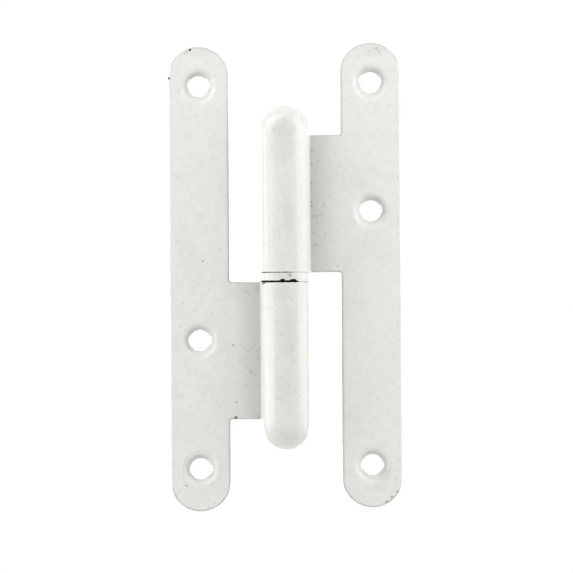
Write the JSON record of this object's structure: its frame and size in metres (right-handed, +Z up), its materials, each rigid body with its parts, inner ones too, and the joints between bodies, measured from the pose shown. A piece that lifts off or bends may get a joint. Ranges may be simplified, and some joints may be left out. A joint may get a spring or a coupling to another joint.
{
  "type": "paumelle hinge",
  "caption": "Lift-off door hinge with round-ended leaves, rolled dome-ended knuckles, a bearing ring and a hidden pin, in white painted steel.",
  "frame": {"origin": "on the pin's axis, half-way between the two knuckles", "axes": "+Z up along the pin's axis, +X from the frame leaf to the door leaf, +Y out of the leaves' backs; the hinge is opened flat"},
  "size_m": [0.055, 0.012, 0.1106],
  "materials": {
    "white_coat": "white powder coat, lightly pitted and chipped",
    "ring_coat": "white powder coat, cracked away at the joints",
    "pin_steel": "drawn bright steel"
  },
  "bodies": {
    "frame_leaf": {"frame_leaf": "white_coat", "hinge_pin": "pin_steel"},
    "bearing_ring": {"bearing_ring": "ring_coat"},
    "door_leaf": {"door_leaf": "white_coat"}
  },
  "joints": [
    {"name": "swing", "type": "hinge", "parent": "frame_leaf", "child": "bearing_ring", "pos_m": [0, 0, 0], "axis": [0, 0, 1], "range_deg": [-180, 140]},
    {"name": "lift_off", "type": "slide", "parent": "bearing_ring", "child": "door_leaf", "axis": [0, 0, 1], "range_m": [0, 0.035]}
  ]
}
